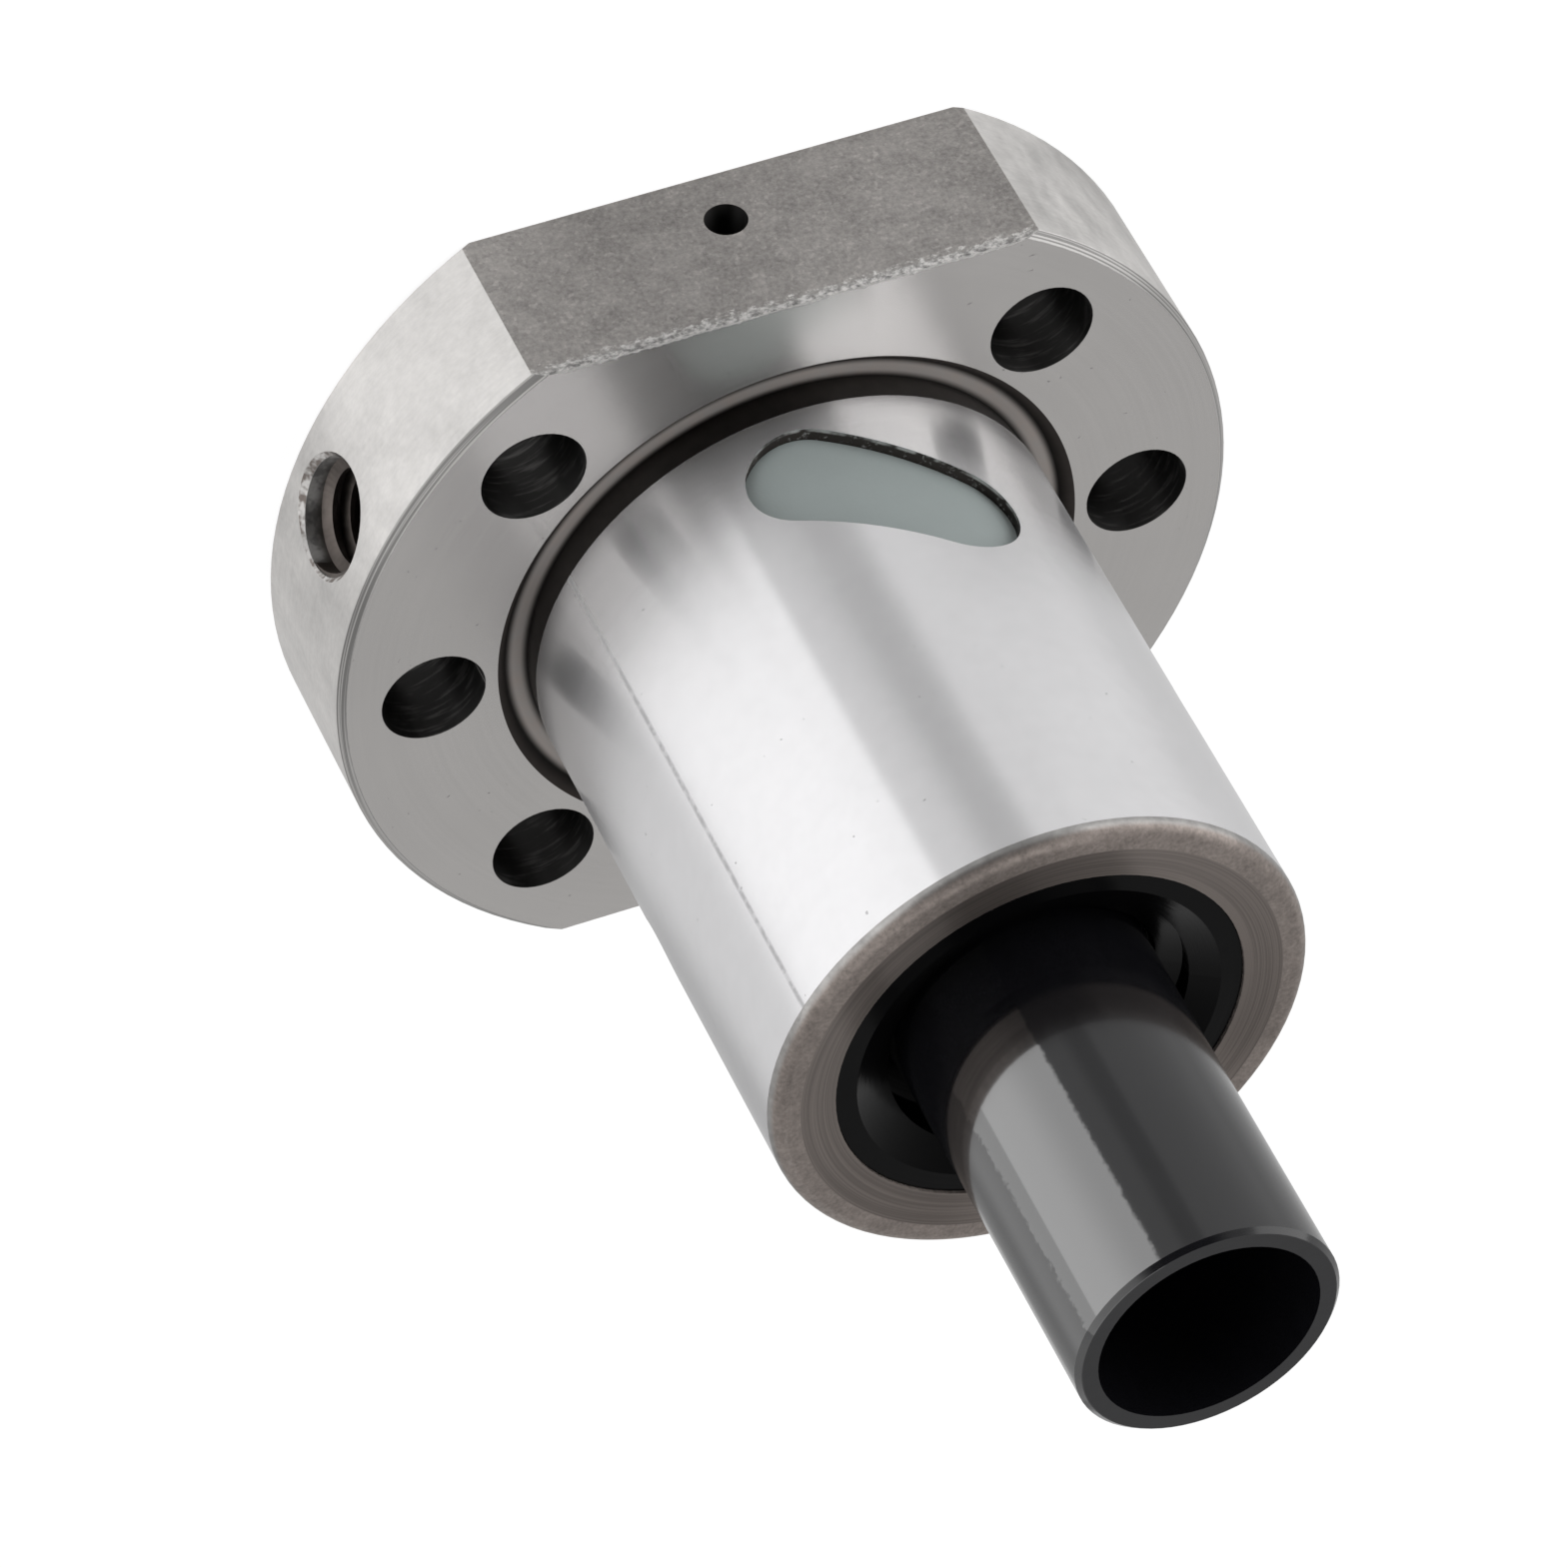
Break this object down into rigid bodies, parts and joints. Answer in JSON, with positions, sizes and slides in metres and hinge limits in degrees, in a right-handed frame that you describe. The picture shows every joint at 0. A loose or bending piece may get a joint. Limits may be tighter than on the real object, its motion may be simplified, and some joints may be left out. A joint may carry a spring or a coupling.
{
  "type": "ball screw nut",
  "caption": "Round-flanged ball screw nut with flats, return inserts, end wipers and the plastic sleeve it ships on.",
  "frame": {"origin": "centre of the flange's back face, on the nut's axis", "axes": "+Z along the axis towards the nose; +X at a fastening hole between the flats; +Y out of the flat that carries the wiper screw"},
  "size_m": [0.048, 0.04, 0.0614],
  "materials": {
    "ground_steel": "ground and turned bearing steel with dark scale in the relief groove",
    "ball_steel": "polished",
    "insert_plastic": "moulded, pale grey-green",
    "wiper_plastic": "moulded, black",
    "black_steel": "blackened",
    "sleeve_plastic": "glossy extruded tube"
  },
  "bodies": {
    "nut": {"nut_body": "ground_steel", "return_insert_1": "insert_plastic", "return_insert_2": "insert_plastic", "return_insert_3": "insert_plastic", "ball_1_01": "ball_steel", "ball_1_02": "ball_steel", "ball_1_03": "ball_steel", "ball_1_04": "ball_steel", "ball_1_05": "ball_steel", "ball_1_06": "ball_steel", "ball_1_07": "ball_steel", "ball_1_08": "ball_steel", "ball_1_09": "ball_steel", "ball_1_10": "ball_steel", "ball_1_11": "ball_steel", "ball_1_12": "ball_steel", "ball_1_13": "ball_steel", "ball_1_14": "ball_steel", "ball_1_15": "ball_steel", "ball_1_16": "ball_steel", "ball_2_01": "ball_steel", "ball_2_02": "ball_steel", "ball_2_03": "ball_steel", "ball_2_04": "ball_steel", "ball_2_05": "ball_steel", "ball_2_06": "ball_steel", "ball_2_07": "ball_steel", "ball_2_08": "ball_steel", "ball_2_09": "ball_steel", "ball_2_10": "ball_steel", "ball_2_11": "ball_steel", "ball_2_12": "ball_steel", "ball_2_13": "ball_steel", "ball_2_14": "ball_steel", "ball_2_15": "ball_steel", "ball_2_16": "ball_steel", "ball_3_01": "ball_steel", "ball_3_02": "ball_steel", "ball_3_03": "ball_steel", "ball_3_04": "ball_steel", "ball_3_05": "ball_steel", "ball_3_06": "ball_steel", "ball_3_07": "ball_steel", "ball_3_08": "ball_steel", "ball_3_09": "ball_steel", "ball_3_10": "ball_steel", "ball_3_11": "ball_steel", "ball_3_12": "ball_steel", "ball_3_13": "ball_steel", "ball_3_14": "ball_steel", "ball_3_15": "ball_steel", "ball_3_16": "ball_steel", "wiper_flange_end": "wiper_plastic", "wiper_nose_end": "wiper_plastic", "wiper_set_screw": "black_steel"},
    "sleeve": {"transit_sleeve": "sleeve_plastic"}
  },
  "joints": [
    {"name": "sleeve_slide", "type": "slide", "parent": "nut", "child": "sleeve", "axis": [0, 0, 1], "range_m": [0, 0.042]}
  ]
}
